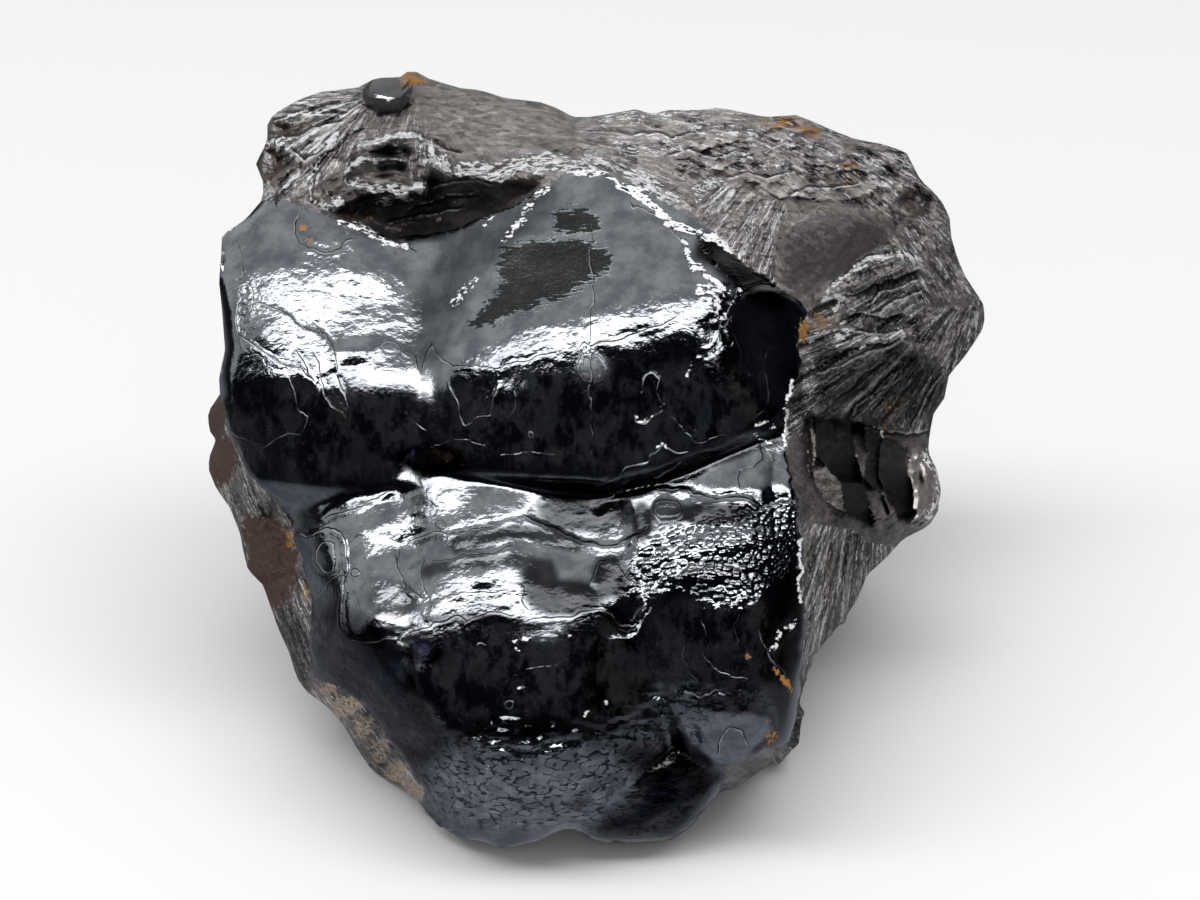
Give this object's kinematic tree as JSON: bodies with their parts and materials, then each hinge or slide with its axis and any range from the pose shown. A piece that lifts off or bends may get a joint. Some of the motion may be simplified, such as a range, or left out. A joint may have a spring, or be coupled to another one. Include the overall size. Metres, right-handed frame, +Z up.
{
  "type": "rough hematite",
  "caption": "Rough kidney-ore hematite hand specimen: glossy black rounded skin in front, rough fibrous break round it, flat broken underside to rest on.",
  "frame": {"origin": "middle of the stone's bounding box, at the level of the flat underside it rests on", "axes": "+X to the right across the glossy face, along the stone's greatest width; +Z up; the glossy face looks towards -Y and up"},
  "size_m": [0.095, 0.0808, 0.0662],
  "materials": {
    "hematite": "mirror-black botryoidal skin in front, satin brown-grey fibrous break elsewhere, a little ochre"
  },
  "bodies": {
    "root": {"hematite": "hematite"}
  },
  "joints": []
}
